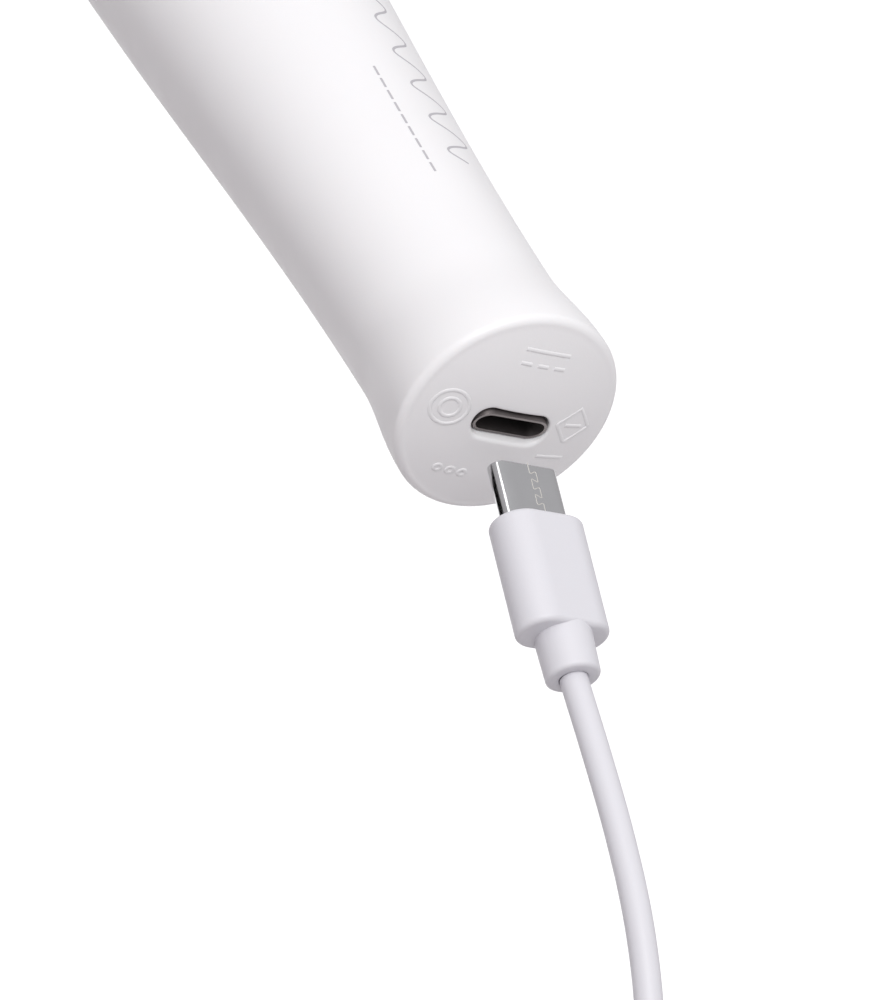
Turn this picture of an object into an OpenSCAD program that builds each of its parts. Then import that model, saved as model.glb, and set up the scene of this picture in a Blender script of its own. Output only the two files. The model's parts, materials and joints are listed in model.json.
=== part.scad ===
// Handheld cordless wand massager with its charging lead, held by its grip with the buttons facing up.
// +X runs along the handle towards the charging port, +Z is the button side, and the origin is on the
// handle's centre line at the middle of the grip.

/* [Handle] */
// From the grip's middle to the rim around the end face
rim_x = 80; // [76:1:90]
// Radius of the rim around the end face
rim_r = 12.55; // [12.2:0.05:13]
// Radius of the edge rounding at the rim
rim_edge = 1; // [0.6:0.1:1.4]
// From the rim back to the narrowest place near the port end
waist_back = 13.5; // [11:0.5:15]
// Radius at that narrowest place
waist_r = 11.4; // [11.2:0.05:11.7]
// From the rim back to the thickest place of the grip
belly_back = 100; // [96:1:104]
// Radius at the thickest place of the grip
belly_r = 14.4; // [14.2:0.1:15.4]
// From the rim back to the end of the handle at the neck
handle_l = 168; // [166:1:172]
// Radius of the handle where the neck starts
shoulder_r = 11.8; // [11.6:0.1:12.6]
// Thickness of the soft sleeve
sleeve_t = 1.8; // [1.6:0.1:1.8]
// Thickness of the hard inner shells
shell_t = 1.5; // [1.2:0.1:1.5]

/* [End face and port] */
// How far the end face domes out past the rim
dome_h = 1.5; // [1:0.1:2]
// Angle of the charging port below the handle's axis
port_tilt = 20; // [16:1:22]
// Distance of the port below the middle of the end face
port_drop = 0.7; // [0:0.1:1]
// Width of the port's mouth
mouth_w = 9.4; // [9.3:0.1:10.2]
// Height of the port's mouth
mouth_h = 3.6; // [3.5:0.1:4]
// Depth of the socket's front edge below the end face
socket_depth = 0.4; // [0.3:0.1:1]

/* [Buttons] */
// Distance between neighbouring buttons
button_pitch = 14; // [13.5:0.5:15]
// Position of the power button along the handle
power_x = -28; // [-30:1:-26]
// Radius of the power button
power_r = 4.5; // [4:0.1:4.8]
// Radius of the two intensity buttons
side_r = 4; // [3.5:0.1:4.5]
// How far a button stands out of its panel
button_proud = 0.5; // [0.3:0.1:0.8]
// How far a button travels when pressed
button_travel = 0.5; // [0.3:0.1:0.6]

/* [Neck] */
// Length of the flexible neck between handle and head
neck_l = 19.6; // [19:0.2:20]
// Outer radius of the neck's bellows
bellows_r = 12; // [11.8:0.1:12.2]

/* [Head] */
// Radius of the massage head
head_r = 24; // [23.5:0.5:25]
// Length of the head's straight barrel
barrel_l = 24; // [23:1:26]
// Length of each rounded end of the head
crown_l = 19; // [18.5:0.5:20]
// Thickness of the head's soft cover
cover_t = 2.5; // [2:0.1:2.6]
// Radius of the motor
motor_r = 12.2; // [11.8:0.1:12.2]

/* [Charging lead] */
// Distance of the plug's tip from the port's mouth
plug_gap = 5; // [2:0.5:8]
// Length of the plug's moulded body
overmold_l = 13.5; // [12:0.5:15]
// Diameter of the cable
cable_d = 3; // [2.8:0.1:3.2]
// Radius of the inner layer of turns in the stored coil
coil_inner_r = 14.8; // [14.5:0.1:15.5]
// Number of turns in each of the coil's two layers
coil_turns = 4; // [3:1:5]

/* [Hidden] */
fine = 96;
small = 32;

// Clearances
seat_gap = 0.05;
run_gap = 0.1;
pin_gap = 0.05;
overlap = 1;

// Handle stations, measured along X
waist_x = rim_x - waist_back;
belly_x = rim_x - belly_back;
shoulder_x = rim_x - handle_l;
face_r = rim_r - rim_edge;
end_wall_x = rim_x - 1;
end_plate_t = 1.5;
profile_step = 4;
shell_r_gap = sleeve_t + seat_gap;
cavity_inset = shell_r_gap + shell_t;

// Port frame: its X axis points out of the port, Y along the slot and Z across it
mouth_z = -port_drop;
mouth_x = rim_x + dome_h * (1 - pow(port_drop / face_r, 2));
socket_w = 8.94;
socket_h = 3.16;
socket_l = 7.35;
socket_wall = 0.3;
tongue_w = 6.6;
tongue_t = 0.7;
tongue_back = 1.2;
tongue_gap = 0.4;
port_cut = 4;
port_cut_in = 6;
charge_board_w = 10.6;
charge_board_l = 16;
charge_board_back = 3.6;
board_t = 1;

// Battery
cell_r = 7.1;
cell_l = 50;
cell_x = -4;
cell_tip_l = 1;
cell_tip_r = 2.8;
pad_t = 2;
pad_end = 5;

// Buttons and control board
button_xs = [power_x, power_x - button_pitch, power_x + button_pitch];
button_rs = [power_r, side_r, side_r];
panel_end = 9;
panel_l = 2 * (button_pitch + panel_end);
panel_w = 15;
panel_ledge = 1.5;
flange_w = 0.6;
flange_t = 0.8;
control_z = 3.4;
control_w = 14;
control_l = 50;
control_back = 28;
control_x = power_x - control_back;
board_screw_end = 3;
board_screw_y = 4.5;
board_screw_l = 3;
board_head_t = 1.2;
switch_w = 6;
switch_h = 3.5;
switch_top_z = control_z + board_t + switch_h;
plunger_r = 1.75;
plunger_in = 0.8;
plunger_out = 1.3;
plunger_rest = 0.3;
switch_bore = plunger_in + button_travel + plunger_rest;
plunger_top_z = switch_top_z + plunger_out;
guide_gap = 6;
guide_x = power_x + button_pitch + guide_gap;
guide_r = 0.7;
led_l = 2;
led_w = 1.6;
led_h = 1.2;

// Screw posts that join the shells: their places, and where the screws' heads seat
post_xs = [waist_x - 9, shoulder_x + 14];
post_y = 5.4;
post_r = 2.4;
post_l = 9;
post_gap = 0.1;
post_bore = 6;
screw_r = 1.1;
screw_slack = 0.02;
screw_head_r = 2;
screw_head_t = 1.4;
screw_seat_z = -4;
case_screw_l = 9.6;

// Neck
pivot_x = shoulder_x - neck_l / 2;
head_x = shoulder_x - neck_l;
ring_r = 7.5;
ring_hole_r = 5.8;
ring_w = 5;
ear_in = ring_r + 0.4;
ear_out = 9.4;
ear_w = 6;
neck_pin_r = 1.2;
bellows_t = 1.8;
groove_t = 0.9;
rib_count = 3;
rib_steps = 6;
yoke_tube_r = ear_out + 0.4;
wire_hole_r = 4.5;
socket_r = shoulder_r - cavity_inset - seat_gap;
socket_root_x = shoulder_x + 8;
ear_root_x = shoulder_x - 1.5;

// Head stations, measured along X: the barrel's front end is the one nearer the handle
crown_power = 2.5;
head_join_r = 12.6;
crown_steps = 9;
join_angle = acos(pow(head_join_r / head_r, crown_power / 2));
crown_reach = crown_l * pow(sin(join_angle), 2 / crown_power);
barrel_front_x = head_x - crown_reach;
barrel_rear_x = barrel_front_x - barrel_l;
barrel_mid_x = (barrel_front_x + barrel_rear_x) / 2;
housing_t = 2;
housing_inset = cover_t + seat_gap;
yoke_plate_x = head_x + 1.5;
yoke_flange_x = head_x - 5;
yoke_flange_t = 1.6;
yoke_flange_w = 1.6;
wire_y = 1.2;
wire_r = 0.7;
wire_ends = [4, 3.2];
boss_r = 2.6;
boss_bite = 0.6;
boss_pos_r = head_r - housing_inset - housing_t - boss_r + boss_bite;
boss_l = 9;
bracket_l = 4;
bracket_t = 1.2;
rib_t = 2;
rib_reach = head_r - housing_inset - housing_t - motor_r - bracket_t / 2 - run_gap;
end_cap_l = 2.5;
bush_r = 3;
bush_l = 3;
motor_l = 28;
motor_x = barrel_rear_x + 1;
motor_wall = 0.8;
shaft_r = 1;
rotor_r = 9.5;
rotor_ends = [5, 7];
bush_slack = 0.4;
hub_w = 6;
hub_h = 1;
weight_r = 10;
weight_l = 8.5;
weight_gap = 2.5;
weight_x = motor_x - weight_gap - weight_l;

// Plug frame, the port frame slid out along its X axis
usb_w = 8.25;
usb_t = 2.4;
usb_l = 6.65;
usb_wall = 0.3;
insert_back = 0.5;
insert_bore = 5.6;
overmold_w = 10.8;
overmold_t = 6.2;
overmold_edge = [0.8, 0.6];
skin_l = 0.1;
overmold_x = plug_gap + usb_l;
relief_x = overmold_x + overmold_l;
relief_l = 5;
relief_r = [3.1, 2.95];
cable_exit = relief_x + relief_l;

// Cable route in the XZ plane, from the plug to the coil
exit_pos = [mouth_x + cable_exit * cos(port_tilt), 0, mouth_z - cable_exit * sin(port_tilt)];
route = [
  [120, 0, -14], [128, 0, -16.6], [136, 0, -19.8], [143, 0, -23.6], [149.5, 0, -28.3],
  [155, 0, -34], [159.4, 0, -41], [162.4, 0, -49], [163.8, 0, -57], [164, 0, -66]
];
cable_sides = 8;

// Coil hanging below the route, turns about its Y axis
turn_step = cable_d + 0.1;
coil_outer_r = coil_inner_r + turn_step;
coil_pos = [route[len(route) - 1][0] - coil_outer_r, 0, -76];
coil_half_w = coil_turns * turn_step / 2;
tail_y = coil_half_w + turn_step / 2;
lead_y = coil_half_w - turn_step / 2;
tie_w = 5;
tie_t = 1;
tie_gap = 0.35;
drop_x = 164;
lead_in = [[drop_x, lead_y / 2, -71], [drop_x, lead_y, coil_pos[2]]];
tail = [for (drop = [0, 7, 14]) [drop_x, tail_y, coil_pos[2] - drop]];

// USB-A plug hanging from the tail
usb_a_pos = tail[len(tail) - 1];
usb_a_relief_l = 8;
usb_a_relief_r = [2.3, 3.1];
usb_a_edge = [2, 0.6];
usb_a_tongue_t = 1.8;
usb_a_tongue_back = 1;
usb_a_body = [8, 15.6, 21];
usb_a_shell_size = [4.5, 12, 12.4];
usb_a_tip_x = usb_a_relief_l + usb_a_body[2] + usb_a_shell_size[2];

// Radius that swings smoothly from ra at xa to rb at xb
function swing(x, xa, ra, xb, rb) = ra + (rb - ra) * (1 - cos(180 * (x - xa) / (xb - xa))) / 2;

function handle_r(x) =
  x > waist_x ? swing(x, waist_x, waist_r, rim_x - rim_edge, rim_r)
  : x > belly_x ? swing(x, belly_x, belly_r, waist_x, waist_r)
  : swing(x, belly_x, belly_r, shoulder_x, shoulder_r);

// One rounded end of the head from its barrel outwards, as [radius, x] about the barrel's middle:
// side is 1 for the neck's end and -1 for the far end, and angle is how far round the end it goes
function crown_points(inset, side, angle) = [
  for (i = [0:crown_steps])
    let (t = angle * i / crown_steps)
    [(head_r - inset) * pow(cos(t), 2 / crown_power),
     barrel_mid_x + side * (barrel_l / 2 + (crown_l - inset) * pow(sin(t), 2 / crown_power))]
];

// Evenly spaced stations from one place to another, both ends included
function stations(from, to, step) =
  let (n = max(1, ceil(abs(to - from) / step)))
  [for (i = [0:n]) from + (to - from) * i / n];

// Points of the handle's side, as [radius, x], inset from the outer surface
function side_points(inset, from, to) =
  [for (x = stations(from, to, profile_step)) [handle_r(x) - inset, x]];

// The rim's rounded edge and the domed end face
function end_points() = concat(
  [for (a = [15:15:90]) [face_r + rim_edge * cos(a), rim_x - rim_edge + rim_edge * sin(a)]],
  [for (i = [5:-1:0]) [face_r * i / 6, rim_x + dome_h * (1 - pow(i / 6, 2))]]
);

function reversed(p) = [for (i = [len(p) - 1:-1:0]) p[i]];

// Sweep of a round tube along points, one ring of vertices at each
function unit(v) = v / norm(v);

function heading(p, i) = unit(p[min(i + 1, len(p) - 1)] - p[max(i - 1, 0)]);

function tube_ring(p, i, r, start) =
  let (t = i == 0 ? start : heading(p, i), u = unit(cross([0, 1, 0.001], t)), v = cross(t, u))
  [for (k = [0:cable_sides - 1]) let (a = 360 * k / cable_sides) p[i] + r * (cos(a) * u + sin(a) * v)];

function tube_sides(rings) = [
  for (i = [0:rings - 2], k = [0:cable_sides - 1])
    let (a = i * cable_sides, n = (k + 1) % cable_sides)
    [a + k, a + cable_sides + k, a + cable_sides + n, a + n]
];

module tube(p, start) {
  polyhedron(
    points = [for (i = [0:len(p) - 1]) each tube_ring(p, i, cable_d / 2, start)],
    faces = concat(
      [[for (k = [0:cable_sides - 1]) k]],
      tube_sides(len(p)),
      [[for (k = [cable_sides - 1:-1:0]) (len(p) - 1) * cable_sides + k]]
    )
  );
}

// Turns an outline of [radius, x] points about the X axis
module turned(points, sides = fine) {
  rotate([0, 90, 0])
    rotate_extrude($fn = sides)
      polygon(points);
}

module x_cylinder(from, to, r, sides = small) {
  translate([min(from, to), 0, 0])
    rotate([0, 90, 0])
      cylinder(h = abs(to - from), r = r, $fn = sides);
}

module y_cylinder(from, to, r) {
  translate([0, min(from, to), 0])
    rotate([-90, 0, 0])
      cylinder(h = abs(to - from), r = r, $fn = small);
}

module x_ring(from, to, r, hole_r) {
  difference() {
    x_cylinder(from, to, r, fine);
    x_cylinder(min(from, to) - overlap, max(from, to) + overlap, hole_r, fine);
  }
}

// Slot with round ends, w along Y and h along Z, extruded along X
module x_slot(from, to, w, h) {
  translate([from, 0, 0])
    rotate([0, 90, 0])
      linear_extrude(to - from) {
        square([h, w - h], center = true);
        for (side = [-1, 1])
          translate([0, side * (w - h) / 2])
            circle(d = h, $fn = small);
      }
}

// Slot with round ends along X, extruded upwards
module panel_slot(length, width, bottom, top) {
  translate([power_x, 0, bottom])
    linear_extrude(top - bottom) {
      square([length - width, width], center = true);
      for (side = [-1, 1])
        translate([side * (length - width) / 2, 0])
          circle(d = width, $fn = fine);
    }
}

module port_frame() {
  translate([mouth_x, 0, mouth_z])
    rotate([0, port_tilt, 0])
      children();
}

// The handle's solid form, inset from its outer surface, open at neither end
module handle_form(inset, from, to) {
  turned(concat([[0, from]], side_points(inset, from, to), [[0, to]]));
}

module handle_sleeve() {
  color("white")
    difference() {
      turned(concat(
        side_points(0, shoulder_x, rim_x - rim_edge),
        end_points(),
        [[0, end_wall_x]],
        reversed(side_points(sleeve_t, shoulder_x, end_wall_x))
      ));
      port_frame() x_slot(-port_cut, port_cut, mouth_w, mouth_h);
      panel_slot(panel_l + 2 * seat_gap, panel_w + 2 * seat_gap, 0, belly_r + overlap);
    }
}

// Both inner shells as one tube with an end plate
module shell_tube() {
  difference() {
    turned(concat(
      side_points(shell_r_gap, shoulder_x, end_wall_x - seat_gap),
      [[0, end_wall_x - seat_gap], [0, end_wall_x - end_plate_t]],
      reversed(side_points(cavity_inset, shoulder_x, end_wall_x - end_plate_t))
    ));
    port_frame() x_slot(-port_cut_in, port_cut, socket_w + 2 * seat_gap, socket_h + 2 * seat_gap);
  }
}

module half_space(side) {
  translate([shoulder_x - overlap, -belly_r, side > 0 ? 0 : -belly_r - overlap])
    cube([handle_l + 2 * overlap, 2 * belly_r, belly_r + overlap]);
}

module upper_shell() {
  color("gainsboro")
    difference() {
      intersection() {
        union() {
          shell_tube();
          shell_posts(post_gap, post_l);
        }
        half_space(1);
        handle_form(shell_r_gap, shoulder_x, end_wall_x - seat_gap);
      }
      panel_slot(panel_l - 2 * panel_ledge, panel_w - 2 * panel_ledge, 0, belly_r + overlap);
      shell_post_holes(screw_r, -overlap, post_bore);
    }
}

module lower_shell() {
  color("gainsboro")
    difference() {
      intersection() {
        union() {
          shell_tube();
          shell_posts(-post_l, 0);
        }
        half_space(-1);
        handle_form(shell_r_gap, shoulder_x, end_wall_x - seat_gap);
      }
      shell_post_holes(screw_r, -belly_r, overlap);
      shell_post_holes(screw_head_r + run_gap, -belly_r, screw_seat_z);
    }
}

module at_posts() {
  for (x = post_xs, side = [-1, 1])
    translate([x, side * post_y, 0])
      children();
}

module shell_posts(bottom, top) {
  at_posts()
    translate([0, 0, bottom])
      cylinder(h = top - bottom, r = post_r, $fn = small);
}

module shell_post_holes(r, bottom, top) {
  at_posts()
    translate([0, 0, bottom])
      cylinder(h = top - bottom, r = r, $fn = small);
}

module case_screws() {
  color("silver")
    at_posts() {
      translate([0, 0, screw_seat_z - screw_head_t])
        cylinder(h = screw_head_t, r = screw_head_r, $fn = small);
      translate([0, 0, screw_seat_z])
        cylinder(h = case_screw_l, r = screw_r - screw_slack, $fn = small);
    }
}

// The handle's skin cut to a slot, between two insets
module skin_slot(length, width, outer_inset, inner_inset) {
  intersection() {
    difference() {
      handle_form(outer_inset, shoulder_x + 10, waist_x);
      handle_form(inner_inset, shoulder_x + 9, waist_x + overlap);
    }
    panel_slot(length, width, 0, belly_r + overlap);
  }
}

module button_panel() {
  color("whitesmoke")
    difference() {
      skin_slot(panel_l, panel_w, 0, sleeve_t);
      for (i = [0:2])
        translate([button_xs[i], 0, 0])
          cylinder(h = belly_r + overlap, r = button_rs[i] + run_gap, $fn = fine);
      translate([guide_x, 0, 0])
        cylinder(h = belly_r + overlap, r = guide_r + seat_gap, $fn = small);
    }
}

// Underside of the panel at a button's lowest edge, less the gap above the flange
function seat_z(i) =
  let (reach = button_rs[i] + flange_w, r = handle_r(button_xs[i] - reach) - sleeve_t)
  sqrt(r * r - reach * reach) - run_gap;

module button(i) {
  translate([button_xs[i], 0, seat_z(i) - flange_t])
    cylinder(h = flange_t, r = button_rs[i] + flange_w, $fn = fine);
  translate([button_xs[i], 0, plunger_top_z])
    cylinder(h = seat_z(i) - plunger_top_z, r = plunger_r, $fn = small);
  intersection() {
    translate([button_xs[i], 0, seat_z(i) - flange_t / 2])
      cylinder(h = belly_r, r = button_rs[i], $fn = fine);
    handle_form(-button_proud, shoulder_x + 10, waist_x);
  }
}

module power_button() { color("silver") button(0); }

module plus_button() { color("whitesmoke") button(1); }

module minus_button() { color("whitesmoke") button(2); }

module plunger(i) {
  translate([button_xs[i], 0, switch_top_z - plunger_in])
    cylinder(h = plunger_in + plunger_out, r = plunger_r, $fn = small);
}

module power_plunger() { color("black") plunger(0); }

module plus_plunger() { color("black") plunger(1); }

module minus_plunger() { color("black") plunger(2); }

module key_switches() {
  color("dimgray")
    for (x = button_xs)
      translate([x, 0, control_z + board_t])
        difference() {
          translate([-switch_w / 2, -switch_w / 2, 0])
            cube([switch_w, switch_w, switch_h]);
          translate([0, 0, switch_h - switch_bore])
            cylinder(h = switch_bore + overlap, r = plunger_r + run_gap, $fn = small);
        }
}

module control_board() {
  color("darkgreen")
    difference() {
      translate([control_x, -control_w / 2, control_z])
        cube([control_l, control_w, board_t]);
      at_board_screws(control_z - overlap)
        cylinder(h = board_t + 2 * overlap, r = screw_r + run_gap, $fn = small);
    }
}

module at_board_screws(z) {
  for (end = [board_screw_end, control_l - board_screw_end])
    translate([control_x + end, board_screw_y, z])
      children();
}

module board_screws() {
  color("silver") {
    at_board_screws(control_z - board_screw_l)
      cylinder(h = board_screw_l + board_t, r = screw_r, $fn = small);
    at_board_screws(control_z + board_t)
      cylinder(h = board_head_t, r = screw_head_r, $fn = small);
  }
}

module light_guide() {
  color("lightcyan")
    intersection() {
      translate([guide_x, 0, control_z + board_t + led_h])
        cylinder(h = belly_r, r = guide_r, $fn = small);
      handle_form(0, shoulder_x, waist_x);
    }
}

module status_led() {
  color("white")
    translate([guide_x - led_l / 2, -led_w / 2, control_z + board_t])
      cube([led_l, led_w, led_h]);
}

module battery_cell() {
  color("steelblue") {
    x_cylinder(cell_x, cell_x + cell_l, cell_r, fine);
    x_cylinder(cell_x + cell_l, cell_x + cell_l + cell_tip_l, cell_tip_r);
  }
}

// Radius of the room inside the shells, where the handle narrows towards the port
function cavity_r(x) = handle_r(x) - cavity_inset;

// Foam rings hold the cell in the middle of the shells
module battery_pads() {
  color("darkgray")
    for (x = [cell_x + pad_end, cell_x + cell_l - pad_end - pad_t])
      x_ring(x, x + pad_t, cavity_r(x + pad_t) - seat_gap, cell_r + seat_gap);
}

module charge_board() {
  color("darkgreen")
    port_frame()
      translate([
        -socket_depth - charge_board_back - charge_board_l,
        -charge_board_w / 2,
        -socket_h / 2 - board_t
      ])
        cube([charge_board_l, charge_board_w, board_t]);
}

module port_shell() {
  color("silver")
    port_frame()
      difference() {
        x_slot(-socket_depth - socket_l, -socket_depth, socket_w, socket_h);
        x_slot(
          -socket_depth - socket_l + socket_wall, overlap,
          socket_w - 2 * socket_wall, socket_h - 2 * socket_wall
        );
      }
}

module port_tongue() {
  color("black")
    port_frame() {
      translate([-socket_depth - socket_l + socket_wall, -tongue_w / 2, -tongue_t / 2])
        cube([socket_l - socket_wall - tongue_back, tongue_w, tongue_t]);
    }
}

// Two ears on opposite sides of the neck ring, along Y, reaching the pivot from the place root_x
module yoke_ears(root_x) {
  for (side = [-1, 1])
    difference() {
      union() {
        translate([min(root_x, pivot_x), side > 0 ? ear_in : -ear_out, -ear_w / 2])
          cube([abs(root_x - pivot_x), ear_out - ear_in, ear_w]);
        translate([pivot_x, 0, 0])
          y_cylinder(side * ear_in, side * ear_out, ear_w / 2);
      }
      translate([pivot_x, 0, 0])
        y_cylinder(side * (ear_in - overlap), side * (ear_out + overlap), neck_pin_r + pin_gap);
    }
}

module handle_yoke() {
  color("dimgray") {
    x_ring(ear_root_x, socket_root_x, socket_r, wire_hole_r);
    x_ring(ear_root_x, shoulder_x - seat_gap, yoke_tube_r, wire_hole_r);
    yoke_ears(ear_root_x);
  }
}

// Pins on opposite sides, along Y, pressed in the ring and running in the ears
module ring_pins() {
  for (side = [-1, 1])
    translate([pivot_x, 0, 0])
      y_cylinder(side * ring_hole_r, side * (ear_out - run_gap), neck_pin_r);
}

module pitch_pins() { color("silver") ring_pins(); }

module yaw_pins() { color("silver") rotate([90, 0, 0]) ring_pins(); }

module neck_ring() {
  color("darkgray")
    difference() {
      x_ring(pivot_x - ring_w / 2, pivot_x + ring_w / 2, ring_r, ring_hole_r);
      for (turn = [0, 90])
        rotate([turn, 0, 0])
          translate([pivot_x, 0, 0])
            y_cylinder(-ring_r - overlap, ring_r + overlap, neck_pin_r);
    }
}

module head_yoke() {
  color("dimgray") {
    x_ring(yoke_plate_x, yoke_flange_x, yoke_tube_r, wire_hole_r);
    x_ring(yoke_flange_x, yoke_flange_x - yoke_flange_t, yoke_tube_r + yoke_flange_w, wire_hole_r);
    rotate([90, 0, 0])
      yoke_ears(yoke_plate_x);
  }
}

// Half of the ribbed neck, from one end to the other, with a groove at both ends
module bellows(from, to) {
  steps = rib_count * rib_steps;
  outer = [
    for (i = [0:steps])
      [bellows_r - groove_t * (1 + cos(360 * i / rib_steps)) / 2, from + (to - from) * i / steps]
  ];
  turned(concat([[bellows_r - bellows_t, from]], outer, [[bellows_r - bellows_t, to]]));
}

module neck_sleeve_rear() { color("white") bellows(shoulder_x, pivot_x); }

module neck_sleeve_front() { color("white") bellows(pivot_x, head_x); }

module motor_leads() {
  color("firebrick")
    for (side = [-1, 1])
      translate([0, side * wire_y, 0])
        x_cylinder(control_x - wire_ends[0], motor_x + motor_l + wire_ends[1], wire_r);
}

// The head's solid form, inset from its outer surface; angle is how far its neck end goes round
module head_form(inset, angle) {
  front = crown_points(inset, 1, angle);
  turned(concat([[0, front[crown_steps][1]]], reversed(front), crown_points(inset, -1, 90)));
}

module head_cover() {
  color("white")
    difference() {
      head_form(0, join_angle);
      head_form(cover_t, 90);
      x_cylinder(yoke_flange_x, head_x + overlap, yoke_tube_r + run_gap, fine);
    }
}

module housing_shell() {
  difference() {
    head_form(housing_inset, 90);
    head_form(housing_inset + housing_t, 90);
    x_cylinder(yoke_flange_x, head_x + overlap, yoke_tube_r + run_gap, fine);
  }
}

// The head's inside on one side of the barrel's middle: 1 is towards the neck
module head_side(side) {
  translate([side > 0 ? barrel_mid_x : barrel_mid_x - 2 * head_r, -head_r, -head_r])
    cube([2 * head_r, 2 * head_r, 2 * head_r]);
}

module at_bosses() {
  for (turn = [30:120:270])
    rotate([turn, 0, 0])
      translate([0, 0, boss_pos_r])
        children();
}

// One half of the motor's housing, with a boss for each of its screws
module housing_half(side) {
  difference() {
    union() {
      intersection() {
        housing_shell();
        head_side(side);
      }
      intersection() {
        at_bosses()
          x_cylinder(barrel_mid_x, barrel_mid_x + side * boss_l, boss_r);
        head_form(housing_inset, 90);
      }
    }
    at_bosses()
      x_cylinder(barrel_mid_x - boss_l - overlap, barrel_mid_x + boss_l + overlap, screw_r);
  }
}

module housing_front() { color("gainsboro") housing_half(1); }

module housing_rear() { color("gainsboro") housing_half(-1); }

module housing_screws() {
  color("silver")
    at_bosses() {
      x_cylinder(barrel_mid_x - boss_l + overlap, barrel_mid_x + boss_l, screw_r);
      x_cylinder(barrel_mid_x + boss_l, barrel_mid_x + boss_l + screw_head_t, screw_head_r);
    }
}

// Ring around the motor with ribs that reach the housing between its bosses
module motor_bracket() {
  color("gainsboro") {
    x_ring(barrel_mid_x - bracket_l / 2, barrel_mid_x + bracket_l / 2, motor_r + bracket_t, motor_r);
    for (turn = [90:120:330])
      rotate([turn, 0, 0])
        translate([barrel_mid_x - bracket_l / 2, -rib_t / 2, motor_r + bracket_t / 2])
          cube([bracket_l, rib_t, rib_reach]);
  }
}

module motor_can() {
  color("silver")
    difference() {
      x_cylinder(motor_x, motor_x + motor_l - end_cap_l, motor_r, fine);
      x_cylinder(motor_x + motor_wall, motor_x + motor_l, motor_r - motor_wall, fine);
      x_cylinder(motor_x - overlap, motor_x + 2 * overlap, bush_r, fine);
    }
}

module motor_end_cap() {
  color("black")
    x_ring(motor_x + motor_l - end_cap_l, motor_x + motor_l, motor_r, bush_r);
}

module motor_bushes() {
  color("goldenrod") {
    x_ring(motor_x - bush_l / 2, motor_x + bush_l / 2, bush_r, shaft_r + pin_gap);
    x_ring(motor_x + motor_l - end_cap_l, motor_x + motor_l - bush_slack, bush_r, shaft_r + pin_gap);
  }
}

module rotor() {
  color("silver") {
    x_cylinder(weight_x - overlap, motor_x + motor_l - end_cap_l / 2, shaft_r, fine);
    x_cylinder(motor_x + rotor_ends[0], motor_x + motor_l - rotor_ends[1], rotor_r, fine);
  }
}

// Half disc on the motor's shaft, hanging down at rest
module eccentric_weight() {
  color("goldenrod")
    difference() {
      x_cylinder(weight_x, weight_x + weight_l, weight_r, fine);
      translate([weight_x - overlap, -weight_r - overlap, shaft_r + hub_h])
        cube([weight_l + 2 * overlap, 2 * weight_r + 2 * overlap, weight_r]);
      x_cylinder(weight_x - overlap, weight_x + weight_l + overlap, shaft_r, fine);
      for (side = [-1, 1])
        translate([weight_x - overlap, side > 0 ? hub_w / 2 : -weight_r - hub_w / 2 - overlap, 0])
          cube([weight_l + 2 * overlap, weight_r + overlap, weight_r]);
    }
}

module plug_shell() {
  color("silver")
    port_frame()
      difference() {
        x_slot(plug_gap, overmold_x, usb_w, usb_t);
        x_slot(plug_gap - overlap, overmold_x + overlap, usb_w - 2 * usb_wall, usb_t - 2 * usb_wall);
      }
}

module plug_insert() {
  color("black")
    port_frame()
      difference() {
        x_slot(plug_gap + insert_back, overmold_x, usb_w - 2 * usb_wall, usb_t - 2 * usb_wall);
        x_slot(plug_gap - overlap, plug_gap + insert_bore, tongue_w + tongue_gap, tongue_t + tongue_gap);
      }
}

// Stretch of the moulded body, inset all round
module edged_slot(from, to, inset) {
  x_slot(from, to, overmold_w - 2 * inset, overmold_t - 2 * inset);
}

module plug_overmold() {
  color("gainsboro")
    port_frame()
      hull() {
        edged_slot(overmold_x, overmold_x + skin_l, overmold_edge[0]);
        edged_slot(overmold_x + overmold_edge[0], relief_x - overmold_edge[1], 0);
        edged_slot(relief_x - skin_l, relief_x, overmold_edge[1]);
      }
}

module plug_relief() {
  color("gainsboro")
    port_frame()
      translate([relief_x, 0, 0])
        rotate([0, 90, 0])
          cylinder(h = relief_l, r1 = relief_r[0], r2 = relief_r[1], $fn = small);
}

module charge_cable() {
  color("gainsboro")
    tube(concat([exit_pos], route, lead_in), [cos(port_tilt), 0, -sin(port_tilt)]);
}

module cable_coil() {
  color("gainsboro")
    translate([coil_pos[0], -coil_half_w, coil_pos[2]])
      rotate([-90, 0, 0])
        rotate_extrude($fn = fine)
          translate([coil_inner_r - cable_d / 2, 0])
            square([turn_step + cable_d, 2 * coil_half_w + turn_step]);
}

module cable_tail() { color("gainsboro") tube(tail, [0, 0, -1]); }

// Strap around the turns on the side away from the lead
module cable_tie() {
  low = [coil_pos[0] - coil_outer_r - cable_d / 2 - tie_gap, -coil_half_w - tie_gap];
  high = [coil_pos[0] - coil_inner_r + cable_d / 2 + tie_gap, coil_half_w + turn_step + tie_gap];
  color("dimgray")
    difference() {
      tie_block(low - [tie_t, tie_t], high + [tie_t, tie_t], tie_w);
      tie_block(low, high, tie_w + 2 * overlap);
    }
}

module tie_block(low, high, w) {
  translate([low[0], low[1], coil_pos[2] - w / 2])
    cube([high[0] - low[0], high[1] - low[1], w]);
}

module usb_a_frame() {
  translate(usb_a_pos)
    rotate([0, 90, 0])
      children();
}

module usb_a_relief() {
  color("gainsboro")
    translate(usb_a_pos)
      rotate([180, 0, 0])
        cylinder(h = usb_a_relief_l, r1 = usb_a_relief_r[0], r2 = usb_a_relief_r[1], $fn = small);
}

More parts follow.
